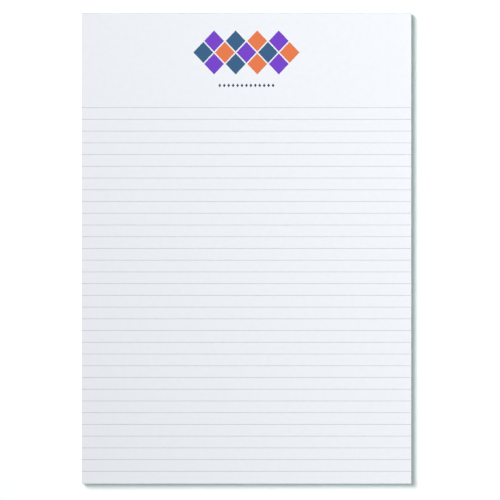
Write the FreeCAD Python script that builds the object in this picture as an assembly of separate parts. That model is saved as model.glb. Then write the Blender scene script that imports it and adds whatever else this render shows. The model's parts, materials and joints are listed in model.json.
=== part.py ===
"""A ruled writing pad: loose sheets glued along the head onto a backing board.

The pad lies on its board with the printed side up. +Y points to the glued head, +X to the
right of the writing, and the origin is at the middle of the underside. Millimetres.
"""
import FreeCAD, Part
import math
import os

from FreeCAD import Vector

# Sheets of writing paper, A4 after the pad is trimmed at its two sides
sheet_width = 208.0
sheet_length = 297.0
sheet_thickness = 0.1
sheet_count = 50

# How far the free edges of one sheet stray from its neighbours: whole steps, taken in turn
# from an odd number of levels, so that no two sheets that touch have an edge in line
stray_step = 0.03
side_stray_levels = 5
foot_stray_levels = 7

# Backing board of grey pulp, with its lower edges rounded over by the guillotine
board_thickness = 0.6
board_edge_round = 0.12

# Padding glue, brushed over the stacked head edges and just over the edge of the top sheet
glue_thickness = 0.25
glue_lap = 0.6
glue_lap_thickness = 0.05
glue_lap_edge = 0.02

# Printing ink on the top sheet
ink_thickness = 0.02

# Ruling, printed from edge to edge and counted up from the foot
line_width = 0.25
line_pitch = 7.4
foot_margin = 7.75
header_depth = 58.0

# Header ornament: a band of lozenges in three colours, one row of an uneven number of cells
# with a shorter row nested above and below it
ornament_drop = 25.0
lozenge_cell_width = 13.6
lozenge_cell_height = 14.5
lozenge_gap = 0.8
middle_row_cells = 5
ornament_colours = ("blue", "orange", "purple")

# Fine row of small lozenges under the ornament
dot_row_drop = 45.8
dot_width = 1.8
dot_height = 2.4
dot_pitch = 2.8
dot_count = 13

# Places that follow from the sizes
stack_height = sheet_count * sheet_thickness
print_level = board_thickness + stack_height
pad_length = sheet_length + glue_thickness
foot_y = -pad_length / 2
head_y = foot_y + sheet_length
left_x = -sheet_width / 2


def stray(sheet_index, levels):
    """Steps that a sheet's edge lies off true: 0 for the top sheet, then up to half the levels."""
    most = levels // 2
    return most * (sheet_index + 1) % levels - most


def sheet(sheet_index):
    """One sheet, counted down from the top. All sheets are knocked up flush at the head."""
    side_stray = stray_step * stray(sheet_index, side_stray_levels)
    foot_stray = stray_step * stray(sheet_index, foot_stray_levels)
    underside = print_level - (sheet_index + 1) * sheet_thickness
    corner = Vector(left_x + side_stray, foot_y + foot_stray, underside)
    return Part.makeBox(sheet_width, sheet_length - foot_stray, sheet_thickness, corner)


def paper_block():
    """All sheets as one solid, with the edge of each one showing round the three free sides."""
    sheets = [sheet(index) for index in range(sheet_count)]
    return sheets[0].fuse(sheets[1:]).removeSplitter()


def backing_board():
    """A flat board the size of a sheet. Only its lower edge at the glued head stays sharp."""
    board = Part.makeBox(sheet_width, sheet_length, board_thickness, Vector(left_x, foot_y, 0))
    lower_edges = [
        edge for edge in board.Edges
        if edge.BoundBox.ZMax < board_thickness / 2 and edge.CenterOfMass.y < head_y - board_thickness
    ]
    return board.makeFillet(board_edge_round, lower_edges)


def arc_about(centre, radius, start_angle):
    """A quarter circle in the YZ plane, turning from +Y towards +Z as the angle grows."""
    angles = [math.radians(start_angle + step) for step in (0, 45, 90)]
    points = [centre + Vector(0, radius * math.cos(a), radius * math.sin(a)) for a in angles]
    return Part.Arc(*points).toShape()


def head_glue():
    """A film down the head edges of the board and the sheets, lapped over the top sheet."""
    film_top = print_level + glue_lap_thickness
    outward = Vector(0, glue_thickness, 0)
    upward = Vector(0, 0, glue_thickness)
    bottom_corner = Vector(left_x, head_y, 0)
    lower_centre = bottom_corner + upward
    upper_centre = Vector(left_x, head_y, film_top) - upward
    sheet_corner = Vector(left_x, head_y, print_level)
    lap_end = sheet_corner - Vector(0, glue_lap, 0)
    lap_top = lap_end + Vector(0, 0, glue_lap_edge)
    outline = Part.Wire([
        arc_about(lower_centre, glue_thickness, -90),
        Part.makeLine(lower_centre + outward, upper_centre + outward),
        arc_about(upper_centre, glue_thickness, 0),
        Part.makeLine(upper_centre + upward, lap_top),
        Part.makeLine(lap_top, lap_end),
        Part.makeLine(lap_end, sheet_corner),
        Part.makeLine(sheet_corner, bottom_corner),
    ])
    return Part.Face(outline).extrude(Vector(sheet_width, 0, 0))


def ruled_lines():
    """Rules across the whole sheet, as many as fit between the foot margin and the header."""
    ruled_length = sheet_length - header_depth - foot_margin
    line_count = math.floor(ruled_length / line_pitch) + 1
    first_line_y = foot_y + foot_margin - line_width / 2
    return Part.makeCompound([
        Part.makeBox(
            sheet_width, line_width, ink_thickness,
            Vector(left_x, first_line_y + index * line_pitch, print_level),
        )
        for index in range(line_count)
    ])


def lozenge(centre_x, centre_y, half_width, half_height):
    """A printed lozenge: a rhombus of ink that stands on its point."""
    centre = Vector(centre_x, centre_y, print_level)
    corners = [
        centre + offset
        for offset in (
            Vector(half_width, 0, 0),
            Vector(0, half_height, 0),
            Vector(-half_width, 0, 0),
            Vector(0, -half_height, 0),
        )
    ]
    outline = Part.makePolygon(corners + corners[:1])
    return Part.Face(outline).extrude(Vector(0, 0, ink_thickness))


def header_lozenges():
    """The ornament's lozenges, as one compound for each colour."""
    cell_half_width = lozenge_cell_width / 2
    cell_half_height = lozenge_cell_height / 2
    cell_inner_radius = cell_half_width * cell_half_height / math.hypot(cell_half_width, cell_half_height)
    filled = 1 - lozenge_gap / 2 / cell_inner_radius
    by_colour = {colour: [] for colour in ornament_colours}
    outermost = middle_row_cells - 1
    for half_step in range(-outermost, outermost + 1):
        in_middle_row = (half_step + outermost) % 2 == 0
        colour = ornament_colours[2 * (half_step + outermost) % len(ornament_colours)]
        for row in (0,) if in_middle_row else (-1, 1):
            by_colour[colour].append(lozenge(
                half_step * cell_half_width,
                head_y - ornament_drop + row * cell_half_height,
                filled * cell_half_width,
                filled * cell_half_height,
            ))
    return {colour: Part.makeCompound(shapes) for colour, shapes in by_colour.items()}


def header_dots():
    """The fine row, centred under the ornament."""
    first_x = -(dot_count - 1) * dot_pitch / 2
    return Part.makeCompound([
        lozenge(first_x + index * dot_pitch, head_y - dot_row_drop, dot_width / 2, dot_height / 2)
        for index in range(dot_count)
    ])


nodes = {
    "backing_board": backing_board(),
    "paper_block": paper_block(),
    "head_glue": head_glue(),
    "ruled_lines": ruled_lines(),
    "header_dots": header_dots(),
}
for colour, lozenges in header_lozenges().items():
    nodes["header_lozenges_" + colour] = lozenges

os.makedirs("parts", exist_ok=True)
for name, shape in nodes.items():
    shape.exportStep("parts/" + name + ".step")
    print(name, "solids", len(shape.Solids), "valid", shape.isValid(), "volume", round(shape.Volume, 3))
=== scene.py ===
"""Dresses a ruled writing pad: its sheets, print, head glue and backing board, and a white stage.

Lengths are metres in the pad's own frame: +Z up through the sheets, +Y towards the glued head.
The pad's outline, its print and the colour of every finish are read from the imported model.
"""
import json
import math

import bmesh
import bpy
from bpy.props import FloatProperty, FloatVectorProperty, IntProperty, PointerProperty
from mathutils import Matrix, Vector, noise


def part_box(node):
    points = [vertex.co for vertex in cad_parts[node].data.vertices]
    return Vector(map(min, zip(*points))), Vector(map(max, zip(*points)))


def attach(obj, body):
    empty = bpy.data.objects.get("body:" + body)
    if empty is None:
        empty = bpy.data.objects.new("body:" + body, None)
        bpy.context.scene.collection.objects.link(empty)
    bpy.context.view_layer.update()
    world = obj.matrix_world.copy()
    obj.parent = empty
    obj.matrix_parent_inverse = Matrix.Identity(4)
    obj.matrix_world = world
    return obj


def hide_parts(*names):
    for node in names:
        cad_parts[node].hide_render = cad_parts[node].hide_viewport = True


bl_info = {
    "name": "Ruled Writing Pad",
    "version": (1, 0, 0),
    "blender": (4, 5, 0),
    "location": "View3D > Sidebar > Writing Pad",
    "description": "Builds a glued writing pad sheet by sheet, with its ruling, header print and board",
    "category": "Add Mesh",
}

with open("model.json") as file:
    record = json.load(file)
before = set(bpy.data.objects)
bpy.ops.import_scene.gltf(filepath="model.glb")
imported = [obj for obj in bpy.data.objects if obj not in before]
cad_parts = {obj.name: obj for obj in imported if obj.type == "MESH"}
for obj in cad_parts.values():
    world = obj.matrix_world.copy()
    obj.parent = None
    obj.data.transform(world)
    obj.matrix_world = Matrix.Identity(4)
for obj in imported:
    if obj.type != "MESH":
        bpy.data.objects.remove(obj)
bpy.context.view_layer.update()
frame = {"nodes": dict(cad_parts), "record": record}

MM = 0.001
BOARD_LOW, BOARD_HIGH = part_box("backing_board")
BLOCK_LOW, BLOCK_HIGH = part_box("paper_block")
GLUE_LOW, GLUE_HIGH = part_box("head_glue")
RULES_LOW, RULES_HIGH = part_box("ruled_lines")
DOTS_LOW, DOTS_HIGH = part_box("header_dots")

SHEET_WIDTH = BOARD_HIGH.x - BOARD_LOW.x
SHEET_LENGTH = BOARD_HIGH.y - BOARD_LOW.y
PRINT_LEVEL = BLOCK_HIGH.z
HEAD_Y = BOARD_HIGH.y
INK_THICKNESS = RULES_HIGH.z - RULES_LOW.z

# Shares of air between the sheets: the power keeps most of them near the least and a few wide
AIR_POWER = 4.0
LEAST_AIR = 0.03

# Waves per metre in a sheet's cut edge and in a rule's, and how fast the cut changes down the stack
CUT_WAVES = 45.0
CUT_CHANGE = 60.0
RULE_WAVES = 350.0

# Cuts along each side of a sheet's outline, and points along a rule
EDGE_CUTS = 60
RULE_POINTS = 140

# The header ornament: its three colours in the order in which they take turns, and its lattice of
# five cells side by side with four nested above and below them
ORNAMENT_COLOURS = ("blue", "purple", "orange")
ORNAMENT_COLUMNS = 9
ORNAMENT_ROWS = 3

# Mesh of the glue film: stations along the head, and steps round its two edges and down its back
GLUE_STATIONS = 416
ROUND_STEPS = 4
BACK_STEPS = 22
SHARP_ANGLE = math.radians(40.0)

# Size along the head and down it of the glue's brush marks, and of the patches where it lies thicker
MARK_SIZE = (24 * MM, 0.9 * MM)
PATCH_SIZE = (5 * MM, 2.2 * MM)

# Lengths along the head in which the free edge of the glue's lap swings and ripples
LAP_SWING = 9 * MM
LAP_RIPPLE = 1.6 * MM

# Shares that each of these has in how much of the film or of the lap is missing
MARK_SHARE = 0.35
PATCH_SHARE = 0.3
SWING_SHARE = 0.5
RIPPLE_SHARE = 0.25

# Planes in which the noise is read for each of them, apart so that none follows another
MARK_PLANE = 0.0
PATCH_PLANE = 4.0
SWING_PLANE = 9.0
RIPPLE_PLANE = 12.0

# Profile of the lap: how high its free edge stands, as a share of its crest, and the shares of its
# width at which it has a point
LAP_EDGE = 0.35
LAP_POINTS = (0.08, 0.3, 0.65)

# Wood fibres that show at the face of the paper, and the longer ones in the pulp of the board. They
# lie in these directions, in degrees, and the last two numbers say how often and how far they bend
PAPER_FIBRES = {"Fibre Length": 0.9 * MM, "Fibre Width": 0.035 * MM}
BOARD_FIBRES = {"Fibre Length": 2.2 * MM, "Fibre Width": 0.09 * MM}
FIBRE_DIRECTIONS = (12.0, 57.0, 102.0, 147.0)
BENDS_PER_FIBRE = 0.6
BEND_PER_LENGTH = 1.2

# Depth of the relief in the face of the paper, the board and the glue
PAPER_RELIEF = 0.03 * MM
BOARD_RELIEF = 0.05 * MM
GLUE_RELIEF = 0.05 * MM

# How many times faster the pulp changes through the board than along it
PULP_LAYERING = 14.0

# Waves per metre that the glue shows along the head, across it and up it: brush marks, sheet edges
BRUSH_MARKS = (60.0, 2200.0, 2200.0)
SHEET_EDGES = (40.0, 0.0, 8500.0)

# Half the height in which the board fades in behind the glue
BOARD_FADE = 0.03 * MM

# Half the width of the floor, and its distance under the board
FLOOR_REACH = 6.0
FLOOR_GAP = 0.02 * MM

WHITE = (1.0, 1.0, 1.0, 1.0)
SLOT_COLOURS = {row["slot"]: tuple(row["base_color"][:3]) for row in frame["record"]["materials"]}


def slot_colour(slot, description):
    """A colour property whose default is the base colour that the record gives the slot."""
    return FloatVectorProperty(
        name=slot.replace("_", " ").capitalize(),
        description=description,
        default=SLOT_COLOURS[slot],
        subtype="COLOR",
        size=3,
        min=0.0,
        max=1.0,
    )


class PadSheetSettings(bpy.types.PropertyGroup):
    """Sizes and colour of the loose sheets."""

    count: IntProperty(
        name="Sheets",
        description="Number of sheets in the pad",
        default=50,
        min=2,
    )
    thickness: FloatProperty(
        name="Sheet thickness",
        description="Thickness of one sheet; what is left of the block's height is air between sheets",
        default=0.088 * MM,
        unit="LENGTH",
    )
    side_jog: FloatProperty(
        name="Side jog",
        description="How far a sheet may lie to the left or right of the top one",
        default=BLOCK_HIGH.x - BOARD_HIGH.x,
        unit="LENGTH",
    )
    foot_jog: FloatProperty(
        name="Foot jog",
        description="How far a sheet may end short of the top one or past it, at the foot",
        default=BOARD_LOW.y - BLOCK_LOW.y,
        unit="LENGTH",
    )
    cut_wander: FloatProperty(
        name="Cut wander",
        description="How far a cut edge of the lower sheets leaves a straight line",
        default=0.02 * MM,
        unit="LENGTH",
    )
    seed: IntProperty(
        name="Seed",
        description="Seed of the jog and the air between sheets",
        default=7,
    )
    colour: slot_colour("writing_paper", "Colour of the uncoated paper")


class PadPrintSettings(bpy.types.PropertyGroup):
    """Sizes and colours of what is printed on the top sheet."""

    rule_count: IntProperty(
        name="Ruled lines",
        description="Number of ruled lines",
        default=32,
        min=2,
    )
    rule_width: FloatProperty(
        name="Line width",
        description="Width of a ruled line",
        default=0.25 * MM,
        unit="LENGTH",
    )
    ink_spread: FloatProperty(
        name="Ink spread",
        description="How far ink creeps past the edge of a ruled line",
        default=0.012 * MM,
        unit="LENGTH",
    )
    dot_count: IntProperty(
        name="Fine lozenges",
        description="Number of lozenges in the fine row",
        default=13,
        min=2,
    )
    dot_width: FloatProperty(
        name="Fine lozenge width",
        description="Width of a lozenge in the fine row",
        default=1.8 * MM,
        unit="LENGTH",
    )
    grey: slot_colour("grey_ink", "Ink of the ruled lines")
    navy: slot_colour("navy_ink", "Ink of the fine row")
    blue: slot_colour("blue_ink", "First ink of the ornament")
    purple: slot_colour("purple_ink", "Second ink of the ornament")
    orange: slot_colour("orange_ink", "Third ink of the ornament")


class PadBackSettings(bpy.types.PropertyGroup):
    """Sizes and colours of the board and the padding glue."""

    lap: FloatProperty(
        name="Glue lap",
        description="Widest lap of the brushed glue over the top sheet",
        default=HEAD_Y - GLUE_LOW.y,
        unit="LENGTH",
    )
    lap_variation: FloatProperty(
        name="Lap variation",
        description="Share of the lap that the brush leaves bare in places",
        default=0.45,
        subtype="FACTOR",
        min=0.0,
        max=0.9,
    )
    film_variation: FloatProperty(
        name="Film variation",
        description="Share of the film's thickness that is lost in its brush marks",
        default=0.3,
        subtype="FACTOR",
        min=0.0,
        max=0.9,
    )
    glue: slot_colour("padding_glue", "Colour of the dried padding glue")
    board: slot_colour("greyboard", "Colour of the pulp board")


class PadStageSettings(bpy.types.PropertyGroup):
    """Framing and light of the stage."""

    frame_width: FloatProperty(
        name="Frame width",
        description="Width of the picture at the level of the print",
        default=315.4 * MM,
        unit="LENGTH",
    )
    frame_right: FloatProperty(
        name="Frame offset right",
        description="How far the picture's centre lies to the right of the pad's",
        default=2.25 * MM,
        unit="LENGTH",
    )
    frame_down: FloatProperty(
        name="Frame offset down",
        description="How far the picture's centre lies below the pad's",
        default=1.25 * MM,
        unit="LENGTH",
    )
    lens: FloatProperty(
        name="Lens",
        description="Focal length in millimetres; a long lens keeps the pad free of convergence",
        default=200.0,
        min=50.0,
    )
    softbox_place: FloatVectorProperty(
        name="Softbox place",
        description="Where the softbox hangs, on the left of the head",
        default=(-0.91, 0.97, 2.69),
        subtype="TRANSLATION",
        unit="LENGTH",
    )
    softbox_aim: FloatVectorProperty(
        name="Softbox aim",
        description="Point that the softbox faces, past the pad, so that its light fades to the left",
        default=(4.4, -1.035, 0.0),
        subtype="TRANSLATION",
        unit="LENGTH",
    )
    softbox_width: FloatProperty(
        name="Softbox width",
        description="Width of the oval softbox",
        default=1.7,
        unit="LENGTH",
    )
    softbox_height: FloatProperty(
        name="Softbox height",
        description="Height of the oval softbox",
        default=2.9,
        unit="LENGTH",
    )
    softbox_spread: FloatProperty(
        name="Softbox spread",
        description="Angle that the grid on the softbox lets its light fan out to",
        default=math.radians(106.4),
        subtype="ANGLE",
    )
    softbox_power: FloatProperty(
        name="Softbox power",
        description="Power of the softbox in watts",
        default=102.1,
        unit="POWER",
    )
    ambient: FloatProperty(
        name="Ambient",
        description="Level of the even light from all round, where 1 shows white paper as white",
        default=0.086,
        subtype="FACTOR",
        min=0.0,
        max=1.0,
    )
    floor: FloatVectorProperty(
        name="Floor",
        description="Colour of the floor as the camera sees it, which tints the pad's shadow",
        default=(0.93, 0.88, 0.89),
        subtype="COLOR",
        min=0.0,
        max=1.0,
    )
    floor_bounce: FloatVectorProperty(
        name="Floor bounce",
        description="Colour of the light that the floor throws back on the pad's sides",
        default=(0.88, 0.88, 0.88),
        subtype="COLOR",
        min=0.0,
        max=1.0,
    )
    shadow_reach: FloatProperty(
        name="Shadow reach",
        description="Distance from the middle of the pad at which the floor starts to fade out",
        default=190.0 * MM,
        unit="LENGTH",
    )
    backdrop_reach: FloatProperty(
        name="Backdrop reach",
        description="Distance from the middle of the pad from which only the white backdrop shows",
        default=245.0 * MM,
        unit="LENGTH",
    )
    floor_glow: FloatVectorProperty(
        name="Floor glow",
        description="Light that the floor adds for the camera, so that it shows white",
        default=(0.18, 0.26, 0.25),
        subtype="COLOR",
        min=0.0,
        max=1.0,
    )


class NodeMaker:
    """Adds nodes to one tree. An input is given as a value, or as the output that feeds it."""

    def __init__(self, tree):
        self.tree = tree

    def add(self, kind, inputs=None, **settings):
        """A new node. Its inputs go by name or place among those that its settings leave in use."""
        node = self.tree.nodes.new(kind)
        for name, value in settings.items():
            setattr(node, name, value)
        in_use = [socket for socket in node.inputs if socket.enabled]
        for key, value in (inputs or {}).items():
            socket = in_use[key] if isinstance(key, int) else next(s for s in in_use if s.name == key)
            self.feed(socket, value)
        return node

    def feed(self, socket, value):
        """Sets an input to a value, or links it to the output that is given."""
        if isinstance(value, bpy.types.NodeSocket):
            self.tree.links.new(value, socket)
        else:
            socket.default_value = value

    def group(self, tree, inputs):
        """The outputs of a shared node group that is placed in this tree with its own values."""
        kind = "GeometryNodeGroup" if tree.bl_idname == "GeometryNodeTree" else "ShaderNodeGroup"
        node = self.tree.nodes.new(kind)
        node.node_tree = tree
        for name, value in inputs.items():
            self.feed(node.inputs[name], value)
        return node.outputs

    def out(self, kind, inputs=None, **settings):
        """The first output in use of a new node."""
        node = self.add(kind, inputs, **settings)
        return next(socket for socket in node.outputs if socket.enabled)

    def math(self, operation, *values):
        """A Math node on one, two or three values."""
        return self.out("ShaderNodeMath", dict(enumerate(values)), operation=operation)

    def xyz(self, x=0.0, y=0.0, z=0.0):
        """A vector from its three parts."""
        return self.out("ShaderNodeCombineXYZ", {"X": x, "Y": y, "Z": z})


def new_tree(name, kind, inputs, outputs):
    """A node group with these sockets. Returns its maker, its inputs by name and its output node."""
    tree = bpy.data.node_groups.new(name, kind)
    for socket_name, socket_type in inputs.items():
        tree.interface.new_socket(socket_name, in_out="INPUT", socket_type="NodeSocket" + socket_type)
    for socket_name, socket_type in outputs.items():
        tree.interface.new_socket(socket_name, in_out="OUTPUT", socket_type="NodeSocket" + socket_type)
    make = NodeMaker(tree)
    given = make.add("NodeGroupInput").outputs
    return make, given, make.add("NodeGroupOutput")


def slab_group():
    """Geometry group: a closed slab from a flat outline, drawn at its underside."""
    if "Slab" in bpy.data.node_groups:
        return bpy.data.node_groups["Slab"]
    make, given, result = new_tree(
        "Slab",
        "GeometryNodeTree",
        {"Outline": "Geometry", "Thickness": "Float"},
        {"Slab": "Geometry"},
    )
    face = make.out("GeometryNodeFillCurve", {"Curve": given["Outline"]}, mode="NGONS")
    upward = make.xyz(z=1.0)
    raised = make.out(
        "GeometryNodeExtrudeMesh",
        {"Mesh": face, "Offset": upward, "Offset Scale": given["Thickness"], "Individual": False},
        mode="FACES",
    )
    underside = make.out("GeometryNodeFlipFaces", {"Mesh": face})
    both = make.add("GeometryNodeJoinGeometry")
    make.feed(both.inputs[0], underside)
    make.feed(both.inputs[0], raised)
    closed = make.out(
        "GeometryNodeMergeByDistance",
        {"Geometry": both.outputs[0], "Distance": 0.001 * MM},
    )
    make.feed(result.inputs["Slab"], closed)
    return make.tree


def edge_wander_group():
    """Geometry group: moves points in the plane of the sheet, by a smooth noise."""
    if "Edge Wander" in bpy.data.node_groups:
        return bpy.data.node_groups["Edge Wander"]
    make, given, result = new_tree(
        "Edge Wander",
        "GeometryNodeTree",
        {"Geometry": "Geometry", "Amount": "Vector", "Waves per Metre": "Float", "Layer Change": "Float"},
        {"Geometry": "Geometry"},
    )
    place = make.add("ShaderNodeSeparateXYZ", {0: make.out("GeometryNodeInputPosition")}).outputs
    layer = make.math("MULTIPLY", place["Z"], given["Layer Change"])
    swirl = make.add(
        "ShaderNodeTexNoise",
        {
            "Vector": make.xyz(place["X"], place["Y"], layer),
            "Scale": given["Waves per Metre"],
            "Detail": 2.0,
        },
    )
    centred = make.out(
        "ShaderNodeVectorMath",
        {0: swirl.outputs["Color"], 1: (-0.5, -0.5, -0.5)},
        operation="ADD",
    )
    doubled = make.out("ShaderNodeVectorMath", {0: centred, 1: (2.0, 2.0, 0.0)}, operation="MULTIPLY")
    moved = make.out("ShaderNodeVectorMath", {0: doubled, 1: given["Amount"]}, operation="MULTIPLY")
    shifted = make.out("GeometryNodeSetPosition", {"Geometry": given["Geometry"], "Offset": moved})
    make.feed(result.inputs["Geometry"], shifted)
    return make.tree


def finish_tree(make, result, geometry, material):
    """Ends a tree: real geometry, flat faces and the piece's material."""
    real = make.out("GeometryNodeRealizeInstances", {"Geometry": geometry})
    flat = make.out("GeometryNodeSetShadeSmooth", {"Geometry": real, "Shade Smooth": False})
    painted = make.out("GeometryNodeSetMaterial", {"Geometry": flat, "Material": material})
    make.feed(result.inputs["Geometry"], painted)


def sheet_stack_tree():
    """Loose sheets counted down from the top one, flush at the head, with air shared out at random."""
    make, given, result = new_tree(
        "Sheet Stack",
        "GeometryNodeTree",
        {
            "Sheets": "Int",
            "Width": "Float",
            "Length": "Float",
            "Thickness": "Float",
            "Top Level": "Float",
            "Block Height": "Float",
            "Head": "Float",
            "Side Jog": "Float",
            "Foot Jog": "Float",
            "Cut Wander": "Float",
            "Edge Cuts": "Int",
            "Seed": "Int",
            "Material": "Material",
        },
        {"Geometry": "Geometry"},
    )
    index = make.out("GeometryNodeInputIndex")
    below_top = make.out(
        "FunctionNodeCompare",
        {"A": index, "B": 0},
        data_type="INT",
        operation="GREATER_THAN",
    )

    def random_value(low, high, salt):
        """A random number for each sheet. Each salt gives a row of its own."""
        seed = make.math("ADD", given["Seed"], salt)
        return make.out(
            "FunctionNodeRandomValue",
            {"Min": low, "Max": high, "ID": index, "Seed": seed},
            data_type="FLOAT",
        )

    share = make.math("ADD", make.math("POWER", random_value(0.0, 1.0, salt=0), AIR_POWER), LEAST_AIR)
    air = make.add("GeometryNodeAccumulateField", {0: share}, data_type="FLOAT", domain="POINT")
    running, _, total = [socket for socket in air.outputs if socket.enabled]
    paper_height = make.math("MULTIPLY", given["Sheets"], given["Thickness"])
    spare = make.math("SUBTRACT", given["Block Height"], paper_height)
    air_above = make.math("DIVIDE", make.math("SUBTRACT", running, share), total)
    fallen = make.math("MULTIPLY", air_above, spare)
    paper_above = make.math("MULTIPLY", make.math("ADD", index, 1.0), given["Thickness"])
    level = make.math("SUBTRACT", make.math("SUBTRACT", given["Top Level"], paper_above), fallen)
    side = make.math("MULTIPLY", random_value(-1.0, 1.0, salt=1), given["Side Jog"])
    foot = make.math("MULTIPLY", random_value(-1.0, 1.0, salt=2), given["Foot Jog"])
    side = make.math("MULTIPLY", side, below_top)
    foot = make.math("MULTIPLY", foot, below_top)
    sheet_length = make.math("ADD", given["Length"], foot)
    centre = make.math("SUBTRACT", given["Head"], make.math("MULTIPLY", sheet_length, 0.5))
    points = make.out("GeometryNodePoints", {"Count": given["Sheets"]})
    place = make.xyz(side, centre, level)
    placed = make.out("GeometryNodeSetPosition", {"Geometry": points, "Position": place})
    stretch = make.xyz(1.0, make.math("DIVIDE", sheet_length, given["Length"]), 1.0)

    outline = make.out(
        "GeometryNodeCurvePrimitiveQuadrilateral",
        {"Width": given["Width"], "Height": given["Length"]},
        mode="RECTANGLE",
    )
    cut_outline = make.out("GeometryNodeSubdivideCurve", {"Curve": outline, "Cuts": given["Edge Cuts"]})
    sheet = make.group(slab_group(), {"Outline": cut_outline, "Thickness": given["Thickness"]})
    stack = make.out(
        "GeometryNodeInstanceOnPoints",
        {"Points": placed, "Instance": sheet["Slab"], "Scale": stretch},
    )
    loose = make.out("GeometryNodeRealizeInstances", {"Geometry": stack})
    amount = make.xyz(given["Cut Wander"], given["Cut Wander"], 0.0)
    wandering = make.group(
        edge_wander_group(),
        {"Geometry": loose, "Amount": amount, "Waves per Metre": CUT_WAVES, "Layer Change": CUT_CHANGE},
    )
    finish_tree(make, result, wandering["Geometry"], given["Material"])
    return make.tree


def ruling_tree():
    """Ruled lines across the sheet, counted up from the lowest, with the uneven edge of ink."""
    make, given, result = new_tree(
        "Ruling",
        "GeometryNodeTree",
        {
            "Lines": "Int",
            "Lowest Line": "Vector",
            "Pitch": "Float",
            "Length": "Float",
            "Width": "Float",
            "Ink Thickness": "Float",
            "Ink Spread": "Float",
            "Points": "Int",
            "Material": "Material",
        },
        {"Geometry": "Geometry"},
    )
    lines = make.out(
        "GeometryNodeMeshLine",
        {
            "Count": given["Lines"],
            "Start Location": given["Lowest Line"],
            "Offset": make.xyz(y=given["Pitch"]),
        },
        mode="OFFSET",
    )
    line = make.out(
        "GeometryNodeMeshCube",
        {
            "Size": make.xyz(given["Length"], given["Width"], given["Ink Thickness"]),
            "Vertices X": given["Points"],
            "Vertices Y": 2,
            "Vertices Z": 2,
        },
    )
    ruled = make.out("GeometryNodeInstanceOnPoints", {"Points": lines, "Instance": line})
    loose = make.out("GeometryNodeRealizeInstances", {"Geometry": ruled})
    spread = make.group(
        edge_wander_group(),
        {
            "Geometry": loose,
            "Amount": make.xyz(y=given["Ink Spread"]),
            "Waves per Metre": RULE_WAVES,
            "Layer Change": 0.0,
        },
    )
    finish_tree(make, result, spread["Geometry"], given["Material"])
    return make.tree


def lozenge_lattice_tree():
    """Printed lozenges on a lattice. Where it is nested, even and odd columns take turns in the rows."""
    make, given, result = new_tree(
        "Lozenge Lattice",
        "GeometryNodeTree",
        {
            "Columns": "Int",
            "Rows": "Int",
            "Column Step": "Float",
            "Row Step": "Float",
            "Centre": "Vector",
            "Half Width": "Float",
            "Half Height": "Float",
            "Ink Thickness": "Float",
            "Nested": "Bool",
            "Colour": "Int",
            "Colours": "Int",
            "Material": "Material",
        },
        {"Geometry": "Geometry"},
    )
    index = make.out("GeometryNodeInputIndex")
    column = make.math("FLOOR", make.math("DIVIDE", index, given["Rows"]))
    row = make.math("SUBTRACT", index, make.math("MULTIPLY", column, given["Rows"]))
    middle_row = make.math("FLOOR", make.math("DIVIDE", given["Rows"], 2.0))
    from_middle = make.math("SUBTRACT", row, middle_row)
    parity = make.math("FLOORED_MODULO", make.math("ADD", column, from_middle), 2.0)
    left_out = make.math("MULTIPLY", parity, given["Nested"])
    turn = make.math("FLOORED_MODULO", column, given["Colours"])
    own_colour = make.math("COMPARE", turn, given["Colour"], 0.5)
    chosen = make.math("MULTIPLY", own_colour, make.math("SUBTRACT", 1.0, left_out))

    middle_column = make.math("MULTIPLY", make.math("SUBTRACT", given["Columns"], 1.0), 0.5)
    x = make.math("MULTIPLY", make.math("SUBTRACT", column, middle_column), given["Column Step"])
    y = make.math("MULTIPLY", from_middle, given["Row Step"])
    place = make.out("ShaderNodeVectorMath", {0: make.xyz(x, y), 1: given["Centre"]}, operation="ADD")
    cells = make.math("MULTIPLY", given["Columns"], given["Rows"])
    points = make.out("GeometryNodePoints", {"Count": cells})
    lattice = make.out("GeometryNodeSetPosition", {"Geometry": points, "Position": place})
    lozenge = make.out(
        "GeometryNodeMeshCylinder",
        {"Vertices": 4, "Radius": 1.0, "Depth": 1.0},
        fill_type="NGON",
    )
    printed = make.out(
        "GeometryNodeInstanceOnPoints",
        {
            "Points": lattice,
            "Selection": chosen,
            "Instance": lozenge,
            "Scale": make.xyz(given["Half Width"], given["Half Height"], given["Ink Thickness"]),
        },
    )
    finish_tree(make, result, printed, given["Material"])
    return make.tree


def grown_piece(name, tree, values):
    """A plain mesh object made by evaluating a geometry tree with these input values."""
    piece = bpy.data.objects.new(name, bpy.data.meshes.new(name))
    bpy.context.scene.collection.objects.link(piece)
    modifier = piece.modifiers.new("Grow", "NODES")
    modifier.node_group = tree
    for socket in tree.interface.items_tree:
        if socket.in_out == "INPUT":
            modifier[socket.identifier] = values[socket.name]
    depsgraph = bpy.context.evaluated_depsgraph_get()
    mesh = bpy.data.meshes.new_from_object(piece.evaluated_get(depsgraph), depsgraph=depsgraph)
    piece.modifiers.remove(modifier)
    piece.data = mesh
    mesh.name = name
    if not mesh.polygons:
        raise RuntimeError(name + " came out empty")
    return piece


def declare(piece, slot, *replaced):
    """Hangs a finished piece on the pad's root body and hides the CAD nodes that it stands for."""
    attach(piece, "root")
    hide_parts(*replaced)


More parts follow.
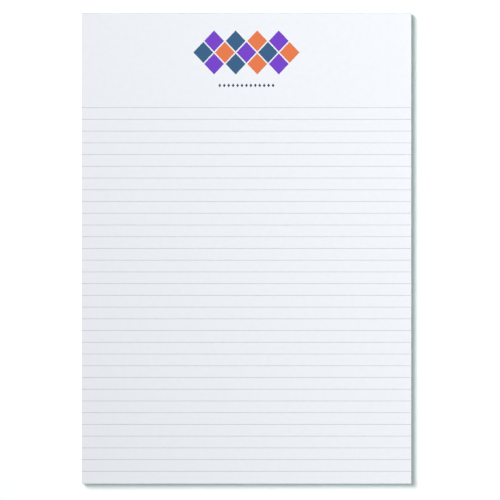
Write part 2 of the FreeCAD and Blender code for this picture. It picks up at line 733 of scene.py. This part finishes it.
def fibres_group():
    """Shader group: short bent fibres that lie across each other in the plane of the sheet."""
    if "Fibres" in bpy.data.node_groups:
        return bpy.data.node_groups["Fibres"]
    make, given, result = new_tree(
        "Fibres",
        "ShaderNodeTree",
        {"Length": "Float", "Width": "Float"},
        {"Mask": "Float"},
    )
    place = make.add("ShaderNodeTexCoord").outputs["Object"]
    bends_per_metre = make.math("DIVIDE", BENDS_PER_FIBRE, given["Length"])
    swirl = make.add("ShaderNodeTexNoise", {"Vector": place, "Scale": bends_per_metre, "Detail": 0.0})
    pull = make.out(
        "ShaderNodeVectorMath",
        {0: swirl.outputs["Color"], "Scale": make.math("MULTIPLY", given["Length"], BEND_PER_LENGTH)},
        operation="SCALE",
    )
    bent = make.out("ShaderNodeVectorMath", {0: place, 1: pull}, operation="ADD")
    fibre_size = make.xyz(given["Length"], given["Width"], given["Width"])
    mask = 0.0
    for direction in FIBRE_DIRECTIONS:
        along = make.out(
            "ShaderNodeMapping",
            {"Vector": bent, "Rotation": (0.0, 0.0, math.radians(direction)), "Scale": fibre_size},
            vector_type="TEXTURE",
        )
        streaks = make.out("ShaderNodeTexNoise", {"Vector": along, "Scale": 1.0, "Detail": 0.0})
        lying = make.out("ShaderNodeMapRange", {"Value": streaks, "From Min": 0.66, "From Max": 0.74})
        mask = make.math("MAXIMUM", mask, lying)
    make.feed(result.inputs["Mask"], mask)
    return make.tree


def paper_tooth_group():
    """Shader group: the cloudy look-through, the fibres and the fine tooth of uncoated stock."""
    if "Paper Tooth" in bpy.data.node_groups:
        return bpy.data.node_groups["Paper Tooth"]
    make, given, result = new_tree(
        "Paper Tooth",
        "ShaderNodeTree",
        {"Fibre Length": "Float", "Fibre Width": "Float"},
        {"Cloud": "Float", "Fibres": "Float", "Height": "Float"},
    )
    place = make.add("ShaderNodeTexCoord").outputs["Object"]
    cloud = make.out(
        "ShaderNodeTexNoise",
        {"Vector": place, "Scale": 320.0, "Detail": 3.0, "Roughness": 0.6},
    )
    fibres = make.group(
        fibres_group(),
        {"Length": given["Fibre Length"], "Width": given["Fibre Width"]},
    )
    tooth = make.out(
        "ShaderNodeTexNoise",
        {"Vector": place, "Scale": 3600.0, "Detail": 4.0, "Roughness": 0.7},
    )
    height = make.math("ADD", tooth, make.math("MULTIPLY", fibres["Mask"], 0.12))
    make.feed(result.inputs["Cloud"], cloud)
    make.feed(result.inputs["Fibres"], fibres["Mask"])
    make.feed(result.inputs["Height"], height)
    return make.tree


def shade_group():
    """Shader group: a colour made lighter or darker by up to an amount, where a mask says so."""
    if "Mottle" in bpy.data.node_groups:
        return bpy.data.node_groups["Mottle"]
    make, given, result = new_tree(
        "Mottle",
        "ShaderNodeTree",
        {"Colour": "Color", "Mask": "Float", "Amount": "Float"},
        {"Colour": "Color"},
    )
    signed = make.math("MULTIPLY", make.math("SUBTRACT", given["Mask"], 0.5), 2.0)
    factor = make.math("ADD", 1.0, make.math("MULTIPLY", signed, given["Amount"]))
    scaled = make.out("ShaderNodeVectorMath", {0: given["Colour"], "Scale": factor}, operation="SCALE")
    make.feed(result.inputs["Colour"], scaled)
    return make.tree


def new_material(name, roughness, specular):
    """A material with a Principled shader. Returns the material, its node maker and the shader."""
    material = bpy.data.materials.new(name)
    material.use_nodes = True
    material.node_tree.nodes.clear()
    make = NodeMaker(material.node_tree)
    shader = make.add(
        "ShaderNodeBsdfPrincipled",
        {"Roughness": roughness, "Specular IOR Level": specular},
    )
    make.add("ShaderNodeOutputMaterial", {"Surface": shader.outputs["BSDF"]})
    return material, make, shader


def shaded(make, colour, mask, amount):
    """A colour, given as three parts or as an output, made lighter and darker by the Mottle group."""
    plain = colour if isinstance(colour, bpy.types.NodeSocket) else (*colour, 1.0)
    return make.group(shade_group(), {"Colour": plain, "Mask": mask, "Amount": amount})["Colour"]


def add_bump(make, shader, height, depth, strength):
    """Relief of this depth in metres on the shader's normal."""
    bump = make.out("ShaderNodeBump", {"Strength": strength, "Distance": depth, "Height": height})
    make.feed(shader.inputs["Normal"], bump)


def paper_material(colour):
    """Uncoated white paper."""
    material, make, shader = new_material("writing_paper", roughness=0.88, specular=0.3)
    tooth = make.group(paper_tooth_group(), PAPER_FIBRES)
    make.feed(shader.inputs["Base Color"], shaded(make, colour, tooth["Cloud"], amount=0.03))
    add_bump(make, shader, tooth["Height"], depth=PAPER_RELIEF, strength=0.8)
    return material


def ink_material(name, colour, unevenness):
    """Printing ink that has sunk into the paper and lies a little unevenly on its tooth."""
    material, make, shader = new_material(name, roughness=0.62, specular=0.2)
    tooth = make.group(paper_tooth_group(), PAPER_FIBRES)
    make.feed(shader.inputs["Base Color"], shaded(make, colour, tooth["Height"], amount=unevenness))
    add_bump(make, shader, tooth["Height"], depth=PAPER_RELIEF, strength=0.5)
    return material


def board_material(colour):
    """Grey recycled pulp board, with dark and pale fibres and the layers of pulp at its cut edge."""
    material, make, shader = new_material("greyboard", roughness=0.93, specular=0.2)
    place = make.add("ShaderNodeTexCoord").outputs["Object"]
    layered = make.out("ShaderNodeMapping", {"Vector": place, "Scale": (1.0, 1.0, PULP_LAYERING)})
    pulp = make.out(
        "ShaderNodeTexNoise",
        {"Vector": layered, "Scale": 420.0, "Detail": 5.0, "Roughness": 0.7},
    )
    tooth = make.group(paper_tooth_group(), BOARD_FIBRES)
    flecks = make.out("ShaderNodeTexNoise", {"Vector": layered, "Scale": 900.0, "Detail": 2.0})
    fleck_mask = make.out(
        "ShaderNodeMapRange",
        {"Value": flecks, "From Min": 0.66, "From Max": 0.7, "To Min": 0.5, "To Max": 0.0},
    )
    mottled = shaded(make, colour, pulp, amount=0.5)
    flecked = shaded(make, mottled, fleck_mask, amount=0.4)
    pale_fibres = make.math("ADD", 0.5, make.math("MULTIPLY", tooth["Fibres"], 0.5))
    make.feed(shader.inputs["Base Color"], shaded(make, flecked, pale_fibres, amount=0.6))
    rough = make.math("ADD", pulp, make.math("MULTIPLY", tooth["Height"], 0.6))
    add_bump(make, shader, rough, depth=BOARD_RELIEF, strength=0.7)
    return material


def glue_material(colour, board_colour):
    """Dried padding glue: a milky satin film that the sheets' edges and the board show through."""
    material, make, shader = new_material("padding_glue", roughness=0.38, specular=0.5)
    place = make.add("ShaderNodeTexCoord").outputs["Object"]
    brushed = make.out("ShaderNodeMapping", {"Vector": place, "Scale": BRUSH_MARKS})
    marks = make.out("ShaderNodeTexNoise", {"Vector": brushed, "Scale": 1.0, "Detail": 3.0})
    patches = make.out("ShaderNodeTexNoise", {"Vector": place, "Scale": 160.0, "Detail": 2.0})
    film = make.math("ADD", make.math("MULTIPLY", marks, 0.5), make.math("MULTIPLY", patches, 0.5))
    level = make.out("ShaderNodeMapping", {"Vector": place, "Scale": SHEET_EDGES})
    sheet_edges = make.out("ShaderNodeTexNoise", {"Vector": level, "Scale": 1.0, "Detail": 1.0})
    lined = shaded(make, colour, sheet_edges, amount=0.16)
    clouded = shaded(make, lined, film, amount=0.12)
    over_board = make.out(
        "ShaderNodeMapRange",
        {
            "Value": make.add("ShaderNodeSeparateXYZ", {0: place}).outputs["Z"],
            "From Min": BOARD_HIGH.z + BOARD_FADE,
            "From Max": BOARD_HIGH.z - BOARD_FADE,
        },
    )
    shows_through = make.math("MULTIPLY", over_board, make.math("SUBTRACT", 1.0, film))
    tone = make.out(
        "ShaderNodeMix",
        {"Factor": shows_through, "A": clouded, "B": (*board_colour, 1.0)},
        data_type="RGBA",
    )
    make.feed(shader.inputs["Base Color"], tone)
    relief = make.math("ADD", film, make.math("MULTIPLY", sheet_edges, 0.35))
    add_bump(make, shader, relief, depth=GLUE_RELIEF, strength=0.8)
    return material


def stage_rays(make):
    """1 for rays that show the stage itself: straight from the camera, mirrored or refracted."""
    path = make.add("ShaderNodeLightPath").outputs
    mirrored = make.math("MAXIMUM", path["Is Glossy Ray"], path["Is Transmission Ray"])
    return make.math("MAXIMUM", path["Is Camera Ray"], mirrored)


def floor_material(settings):
    """White floor. Round the pad it takes the shadow, and further out it fades into the backdrop."""
    material = bpy.data.materials.new("stage_floor")
    material.use_nodes = True
    material.node_tree.nodes.clear()
    make = NodeMaker(material.node_tree)
    seen = stage_rays(make)
    tone = make.out(
        "ShaderNodeMix",
        {"Factor": seen, "A": (*settings.floor_bounce, 1.0), "B": (*settings.floor, 1.0)},
        data_type="RGBA",
    )
    surface = make.out("ShaderNodeBsdfDiffuse", {"Color": tone})
    glow = make.out("ShaderNodeEmission", {"Color": (*settings.floor_glow, 1.0), "Strength": seen})
    floor = make.out("ShaderNodeAddShader", {0: surface, 1: glow})
    place = make.add("ShaderNodeTexCoord").outputs["Object"]
    far_out = make.out(
        "ShaderNodeMapRange",
        {
            "Value": make.out("ShaderNodeVectorMath", {0: place}, operation="LENGTH"),
            "From Min": settings.shadow_reach,
            "From Max": settings.backdrop_reach,
        },
        interpolation_type="SMOOTHSTEP",
    )
    backdrop = make.out("ShaderNodeEmission", {"Color": WHITE, "Strength": 1.0})
    faded = make.math("MULTIPLY", far_out, seen)
    both = make.out("ShaderNodeMixShader", {0: faded, 1: floor, 2: backdrop})
    make.add("ShaderNodeOutputMaterial", {"Surface": both})
    return material


class PAD_OT_sheets(bpy.types.Operator):
    """Stack the loose sheets of writing paper."""

    bl_idname = "writing_pad.sheets"
    bl_label = "Sheets"

    def execute(self, context):
        sheets = context.scene.pad_sheets
        piece = grown_piece("sheet_stack", sheet_stack_tree(), {
            "Sheets": sheets.count,
            "Width": SHEET_WIDTH,
            "Length": SHEET_LENGTH,
            "Thickness": sheets.thickness,
            "Top Level": PRINT_LEVEL,
            "Block Height": BLOCK_HIGH.z - BLOCK_LOW.z,
            "Head": HEAD_Y,
            "Side Jog": sheets.side_jog - sheets.cut_wander,
            "Foot Jog": sheets.foot_jog - sheets.cut_wander,
            "Cut Wander": sheets.cut_wander,
            "Edge Cuts": EDGE_CUTS,
            "Seed": sheets.seed,
            "Material": paper_material(sheets.colour),
        })
        declare(piece, "writing_paper", "paper_block")
        return {"FINISHED"}


class PAD_OT_ruling(bpy.types.Operator):
    """Print the ruled lines from edge to edge."""

    bl_idname = "writing_pad.ruling"
    bl_label = "Ruling"

    def execute(self, context):
        settings = context.scene.pad_print
        lowest_y = RULES_LOW.y + settings.rule_width / 2
        highest_y = RULES_HIGH.y - settings.rule_width / 2
        piece = grown_piece("ruling", ruling_tree(), {
            "Lines": settings.rule_count,
            "Lowest Line": (0.0, lowest_y, PRINT_LEVEL + INK_THICKNESS / 2),
            "Pitch": (highest_y - lowest_y) / (settings.rule_count - 1),
            "Length": SHEET_WIDTH,
            "Width": settings.rule_width - settings.ink_spread,
            "Ink Thickness": INK_THICKNESS,
            "Ink Spread": settings.ink_spread,
            "Points": RULE_POINTS,
            "Material": ink_material("grey_ink", settings.grey, unevenness=0.06),
        })
        declare(piece, "grey_ink", "ruled_lines")
        return {"FINISHED"}


class PAD_OT_header(bpy.types.Operator):
    """Print the lozenge ornament and the fine row under it."""

    bl_idname = "writing_pad.header"
    bl_label = "Header print"

    def execute(self, context):
        settings = context.scene.pad_print
        lattice = lozenge_lattice_tree()
        nodes = ["header_lozenges_" + colour for colour in ORNAMENT_COLOURS]
        boxes = [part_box(node) for node in nodes]
        ornament_width = max(high.x for _, high in boxes) - min(low.x for low, _ in boxes)
        purple_low, purple_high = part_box("header_lozenges_purple")
        # Purple starts and ends half a cell inside the ornament, in the rows above and below its middle
        cell_width = ornament_width - (purple_high.x - purple_low.x)
        filled = ornament_width / cell_width - (ORNAMENT_COLUMNS - 1) / 2
        cell_height = (purple_high.y - purple_low.y) / (1 + filled)
        for turn, (colour, node) in enumerate(zip(ORNAMENT_COLOURS, nodes)):
            slot = colour + "_ink"
            piece = grown_piece("ornament_" + colour, lattice, {
                "Columns": ORNAMENT_COLUMNS,
                "Rows": ORNAMENT_ROWS,
                "Column Step": cell_width / 2,
                "Row Step": cell_height / 2,
                "Centre": (0.0, (purple_low.y + purple_high.y) / 2, PRINT_LEVEL + INK_THICKNESS / 2),
                "Half Width": filled * cell_width / 2,
                "Half Height": filled * cell_height / 2,
                "Ink Thickness": INK_THICKNESS,
                "Nested": True,
                "Colour": turn,
                "Colours": len(ORNAMENT_COLOURS),
                "Material": ink_material(slot, getattr(settings, colour), unevenness=0.12),
            })
            declare(piece, slot, node)

        dot_span = DOTS_HIGH.x - DOTS_LOW.x - settings.dot_width
        piece = grown_piece("fine_row", lattice, {
            "Columns": settings.dot_count,
            "Rows": 1,
            "Column Step": dot_span / (settings.dot_count - 1),
            "Row Step": 0.0,
            "Centre": (0.0, (DOTS_LOW.y + DOTS_HIGH.y) / 2, PRINT_LEVEL + INK_THICKNESS / 2),
            "Half Width": settings.dot_width / 2,
            "Half Height": (DOTS_HIGH.y - DOTS_LOW.y) / 2,
            "Ink Thickness": INK_THICKNESS,
            "Nested": False,
            "Colour": 0,
            "Colours": 1,
            "Material": ink_material("navy_ink", settings.navy, unevenness=0.12),
        })
        declare(piece, "navy_ink", "header_dots")
        return {"FINISHED"}


class PAD_OT_board(bpy.types.Operator):
    """Give the backing board its pulp finish."""

    bl_idname = "writing_pad.board"
    bl_label = "Backing board"

    def execute(self, context):
        board = frame["nodes"]["backing_board"]
        board.data.materials.clear()
        board.data.materials.append(board_material(context.scene.pad_back.board))
        return {"FINISHED"}


def glue_profile(x, settings):
    """The film's outline in the YZ plane at one place along the head, from the lap down the back."""
    height = GLUE_HIGH.z
    full = GLUE_HIGH.y - HEAD_Y
    mark_length, mark_height = MARK_SIZE
    patch_length, patch_height = PATCH_SIZE

    def film(z):
        """Thickness of the film at a height: long brush marks that break up slowly along the head."""
        mark = noise.noise(Vector((x / mark_length, z / mark_height, MARK_PLANE)))
        patch = noise.noise(Vector((x / patch_length, z / patch_height, PATCH_PLANE)))
        lost = 0.5 + MARK_SHARE * mark + PATCH_SHARE * patch
        return full * (1 - settings.film_variation * lost)

    bare = 0.5 + SWING_SHARE * noise.noise(Vector((x / LAP_SWING, 0.0, SWING_PLANE)))
    bare += RIPPLE_SHARE * noise.noise(Vector((x / LAP_RIPPLE, 0.0, RIPPLE_PLANE)))
    lap = settings.lap * (1 - settings.lap_variation * min(max(bare, 0.0), 1.0))
    crest = GLUE_HIGH.z - PRINT_LEVEL
    points = [(HEAD_Y - lap, PRINT_LEVEL)]
    for share in LAP_POINTS:
        rise = LAP_EDGE + (1 - LAP_EDGE) * share
        points.append((HEAD_Y - lap * (1 - share), PRINT_LEVEL + crest * rise))
    corner = full * (1 - settings.film_variation)
    for step in range(ROUND_STEPS):
        angle = math.radians(90 - 90 * step / ROUND_STEPS)
        points.append((
            HEAD_Y + corner * math.cos(angle),
            height - corner + corner * math.sin(angle),
        ))
    for step in range(BACK_STEPS + 1):
        z = height - corner - (height - 2 * corner) * step / BACK_STEPS
        points.append((HEAD_Y + film(z), z))
    for step in range(1, ROUND_STEPS + 1):
        angle = math.radians(-90 * step / ROUND_STEPS)
        points.append((
            HEAD_Y + corner * math.cos(angle),
            corner + corner * math.sin(angle),
        ))
    points.append((HEAD_Y, 0.0))
    points.append((HEAD_Y, PRINT_LEVEL))
    return points


class PAD_OT_glue(bpy.types.Operator):
    """Brush the padding glue over the head."""

    bl_idname = "writing_pad.glue"
    bl_label = "Head glue"

    def execute(self, context):
        settings = context.scene.pad_back
        shape = bmesh.new()
        loops = []
        for station in range(GLUE_STATIONS + 1):
            x = BOARD_LOW.x + SHEET_WIDTH * station / GLUE_STATIONS
            loops.append([shape.verts.new((x, y, z)) for y, z in glue_profile(x, settings)])
        for left, right in zip(loops, loops[1:]):
            for corner in range(len(left)):
                after = (corner + 1) % len(left)
                shape.faces.new((left[corner], left[after], right[after], right[corner]))
        shape.faces.new(loops[0])
        shape.faces.new(reversed(loops[-1]))
        bmesh.ops.recalc_face_normals(shape, faces=shape.faces)
        mesh = bpy.data.meshes.new("brushed_glue")
        shape.to_mesh(mesh)
        shape.free()
        mesh.shade_smooth()
        mesh.set_sharp_from_angle(angle=SHARP_ANGLE)
        mesh.materials.append(glue_material(settings.glue, settings.board))
        piece = bpy.data.objects.new("brushed_glue", mesh)
        context.scene.collection.objects.link(piece)
        declare(piece, "padding_glue", "head_glue")
        return {"FINISHED"}


class PAD_OT_stage(bpy.types.Operator):
    """Set up the white floor, the soft light and the camera."""

    bl_idname = "writing_pad.stage"
    bl_label = "Stage"

    def execute(self, context):
        scene = context.scene
        settings = scene.pad_stage
        scene.view_settings.view_transform = "Standard"
        self.add_floor(scene, settings)
        self.add_world(scene, settings)
        self.add_softbox(scene, settings)
        self.add_camera(scene, settings)
        return {"FINISHED"}

    @staticmethod
    def add_floor(scene, settings):
        """A wide floor, a hair under the board."""
        shape = bmesh.new()
        bmesh.ops.create_grid(shape, x_segments=1, y_segments=1, size=FLOOR_REACH)
        mesh = bpy.data.meshes.new("floor")
        shape.to_mesh(mesh)
        shape.free()
        mesh.transform(Matrix.Translation((0.0, 0.0, -FLOOR_GAP)))
        mesh.materials.append(floor_material(settings))
        floor = bpy.data.objects.new("floor", mesh)
        scene.collection.objects.link(floor)

    @staticmethod
    def add_world(scene, settings):
        """Even light from all round, and plain white where the camera sees past the floor."""
        world = bpy.data.worlds.new("studio")
        scene.world = world
        world.use_nodes = True
        world.node_tree.nodes.clear()
        make = NodeMaker(world.node_tree)
        light = make.out("ShaderNodeBackground", {"Color": WHITE, "Strength": settings.ambient})
        backdrop = make.out("ShaderNodeBackground", {"Color": WHITE, "Strength": 1.0})
        shown = make.out("ShaderNodeMixShader", {0: stage_rays(make), 1: light, 2: backdrop})
        make.add("ShaderNodeOutputWorld", {"Surface": shown})

    @staticmethod
    def add_softbox(scene, settings):
        """One oval softbox, high on the left of the head and turned past the pad's right side."""
        light = bpy.data.lights.new("softbox", "AREA")
        light.shape = "ELLIPSE"
        light.size = settings.softbox_width
        light.size_y = settings.softbox_height
        light.spread = settings.softbox_spread
        light.energy = settings.softbox_power
        softbox = bpy.data.objects.new("softbox", light)
        softbox.location = settings.softbox_place
        back = settings.softbox_place - settings.softbox_aim
        softbox.rotation_euler = back.to_track_quat("Z", "Y").to_euler()
        scene.collection.objects.link(softbox)

    @staticmethod
    def add_camera(scene, settings):
        """A long lens straight above the pad, with the head at the top of the picture."""
        lens = bpy.data.cameras.new("camera")
        lens.lens = settings.lens
        distance = settings.frame_width * settings.lens / lens.sensor_width
        camera = bpy.data.objects.new("camera", lens)
        camera.location = (settings.frame_right, -settings.frame_down, PRINT_LEVEL + distance)
        scene.collection.objects.link(camera)
        scene.camera = camera


class PAD_PT_panel(bpy.types.Panel):
    """Sidebar panel with the pad's settings and the steps that build it."""

    bl_idname = "PAD_PT_panel"
    bl_label = "Writing Pad"
    bl_space_type = "VIEW_3D"
    bl_region_type = "UI"
    bl_category = "Writing Pad"

    def draw(self, context):
        for group_name in SETTINGS:
            box = self.layout.box()
            group = getattr(context.scene, group_name)
            for name in group.bl_rna.properties.keys():
                if name not in ("rna_type", "name"):
                    box.prop(group, name)
        for operator in OPERATORS:
            self.layout.operator(operator.bl_idname)


SETTINGS = {
    "pad_sheets": PadSheetSettings,
    "pad_print": PadPrintSettings,
    "pad_back": PadBackSettings,
    "pad_stage": PadStageSettings,
}
OPERATORS = (PAD_OT_sheets, PAD_OT_ruling, PAD_OT_header, PAD_OT_board, PAD_OT_glue, PAD_OT_stage)
CLASSES = (*SETTINGS.values(), *OPERATORS, PAD_PT_panel)


def register():
    """Registers the classes and hangs each group of settings on the scene."""
    for cls in CLASSES:
        bpy.utils.register_class(cls)
    for name, group in SETTINGS.items():
        setattr(bpy.types.Scene, name, PointerProperty(type=group))


def unregister():
    """Takes the settings off the scene and the classes out again."""
    for name in SETTINGS:
        delattr(bpy.types.Scene, name)
    for cls in reversed(CLASSES):
        bpy.utils.unregister_class(cls)


def main():
    """Builds the pad and its stage."""
    register()
    bpy.ops.writing_pad.sheets()
    bpy.ops.writing_pad.ruling()
    bpy.ops.writing_pad.header()
    bpy.ops.writing_pad.board()
    bpy.ops.writing_pad.glue()
    bpy.ops.writing_pad.stage()


if __name__ == "__main__":
    main()
